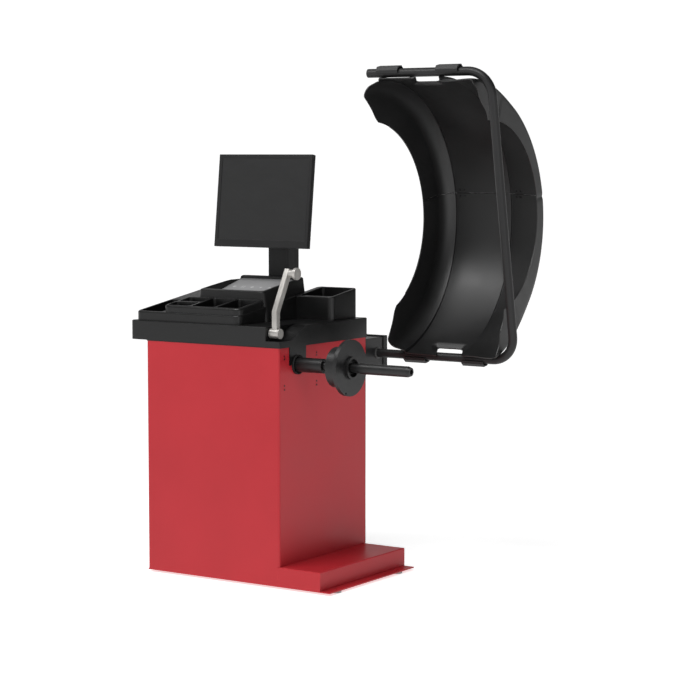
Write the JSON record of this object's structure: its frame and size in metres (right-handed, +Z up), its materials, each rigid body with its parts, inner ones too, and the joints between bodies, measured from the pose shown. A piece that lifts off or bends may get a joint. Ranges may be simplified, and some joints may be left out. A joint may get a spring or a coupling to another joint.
{
  "type": "wheel balancer machine",
  "caption": "Floor-standing wheel balancer: red cabinet, black tray, tilting screen, belt-driven spindle with stud, pull-out rim gauge and hinged wheel hood.",
  "frame": {"origin": "centre of the four floor anchor holes, at floor level", "axes": "+X out along the spindle, -Y towards the operator, +Z up"},
  "size_m": [1.259, 0.9818, 1.8403],
  "materials": {
    "red_steel": "red powder coat on folded sheet steel, slight orange peel",
    "black_steel": "black satin powder coat",
    "black_tube": "black satin painted tube",
    "black_screw": "blackened button-head screws",
    "black_moulding": "black fine-textured vacuum-formed plastic",
    "hood_plastic": "black satin moulded plastic with soft sheen",
    "keypad": "dark grey membrane with faint pale symbols",
    "screen_plastic": "black monitor casing, fine texture",
    "screen_glass": "dark glossy display panel",
    "machined_steel": "turned and ground steel",
    "dark_steel": "dark phosphated and machined cast steel",
    "aluminium": "turned aluminium",
    "gauge_silver": "silver-grey painted casting",
    "motor_casing": "grey painted motor casing",
    "sensor_plastic": "black nylon",
    "bush_plastic": "dark acetal bush",
    "rocker_plastic": "red rocker",
    "rubber": "black rubber",
    "pad_rubber": "light grey rubber levelling pads"
  },
  "bodies": {
    "machine": {"base_frame": "red_steel", "floor_pads": "pad_rubber", "cabinet_shell": "red_steel", "side_screws": "black_screw", "top_deck": "black_steel", "rear_crossmember": "black_steel", "rear_cover": "black_steel", "rear_cover_screws": "black_screw", "top_cover": "black_moulding", "weights_tray": "black_moulding", "keypad_sheet": "keypad", "display_column": "black_steel", "column_cover": "black_steel", "monitor_mount": "black_steel", "tilt_pin": "black_steel", "spindle_housing": "dark_steel", "spindle_bearings": "machined_steel", "measuring_frame": "black_steel", "piezo_sensors": "machined_steel", "sensor_studs": "machined_steel", "seal_ring": "rubber", "encoder_reader": "sensor_plastic", "motor_body": "motor_casing", "drive_belt": "rubber", "gauge_bushes": "sensor_plastic", "gauge_rail": "aluminium", "distance_sensor": "sensor_plastic", "hood_bracket": "black_tube", "bracket_cap": "black_steel", "hinge_bushes": "bush_plastic", "control_box": "sensor_plastic", "power_supply": "sensor_plastic", "power_inlet": "sensor_plastic", "switch_case": "sensor_plastic"},
    "spindle": {"spindle_shaft": "dark_steel", "wheel_flange": "dark_steel", "wheel_stud": "dark_steel", "spindle_pulley": "aluminium", "pulley_nut": "machined_steel", "encoder_disc": "machined_steel"},
    "motor_rotor": {"motor_shaft": "machined_steel", "motor_pulley": "aluminium"},
    "gauge_carrier": {"gauge_carriage": "sensor_plastic"},
    "gauge_lever": {"gauge_rod": "machined_steel", "rod_collars": "machined_steel", "gauge_arm": "gauge_silver", "gauge_head": "gauge_silver"},
    "hood": {"hood_tube": "black_tube", "tube_plug": "sensor_plastic", "stop_collar": "machined_steel", "hood_upper": "hood_plastic", "hood_lower": "hood_plastic", "joint_plates": "black_tube", "joint_screws": "black_screw", "tube_clamps": "black_tube"},
    "monitor": {"screen_bezel": "screen_plastic", "screen_panel": "screen_glass", "screen_back": "screen_plastic", "tilt_bracket": "black_steel"},
    "rocker": {"power_rocker": "rocker_plastic"}
  },
  "joints": [
    {"name": "spindle_spin", "type": "hinge", "parent": "machine", "child": "spindle", "pos_m": [0.4, -0.161, 0.786], "axis": [1, 0, 0], "continuous": true},
    {"name": "motor_spin", "type": "hinge", "parent": "machine", "child": "motor_rotor", "pos_m": [-0.034, -0.161, 0.6], "axis": [1, 0, 0], "continuous": true},
    {"name": "gauge_slide", "type": "slide", "parent": "machine", "child": "gauge_carrier", "axis": [1, 0, 0], "range_m": [0, 0.25], "stiffness_N_per_m": 40},
    {"name": "gauge_swing", "type": "hinge", "parent": "gauge_carrier", "child": "gauge_lever", "pos_m": [0.1405, -0.242, 0.899], "axis": [-1, 0, 0], "range_deg": [0, 50]},
    {"name": "hood_pivot", "type": "hinge", "parent": "machine", "child": "hood", "pos_m": [0.175, 0.368, 0.785], "axis": [1, 0, 0], "range_deg": [0, 64]},
    {"name": "monitor_tilt", "type": "hinge", "parent": "machine", "child": "monitor", "pos_m": [-0.15, 0.16, 1.353], "axis": [1, 0, 0], "range_deg": [-10, 15]},
    {"name": "rocker_switch", "type": "hinge", "parent": "machine", "child": "rocker", "pos_m": [-0.35, 0.282, 0.26], "axis": [1, 0, 0], "range_deg": [0, 14]}
  ],
  "couplings": [
    {"joint": "motor_spin", "follows": "spindle_spin", "ratio": 3}
  ]
}
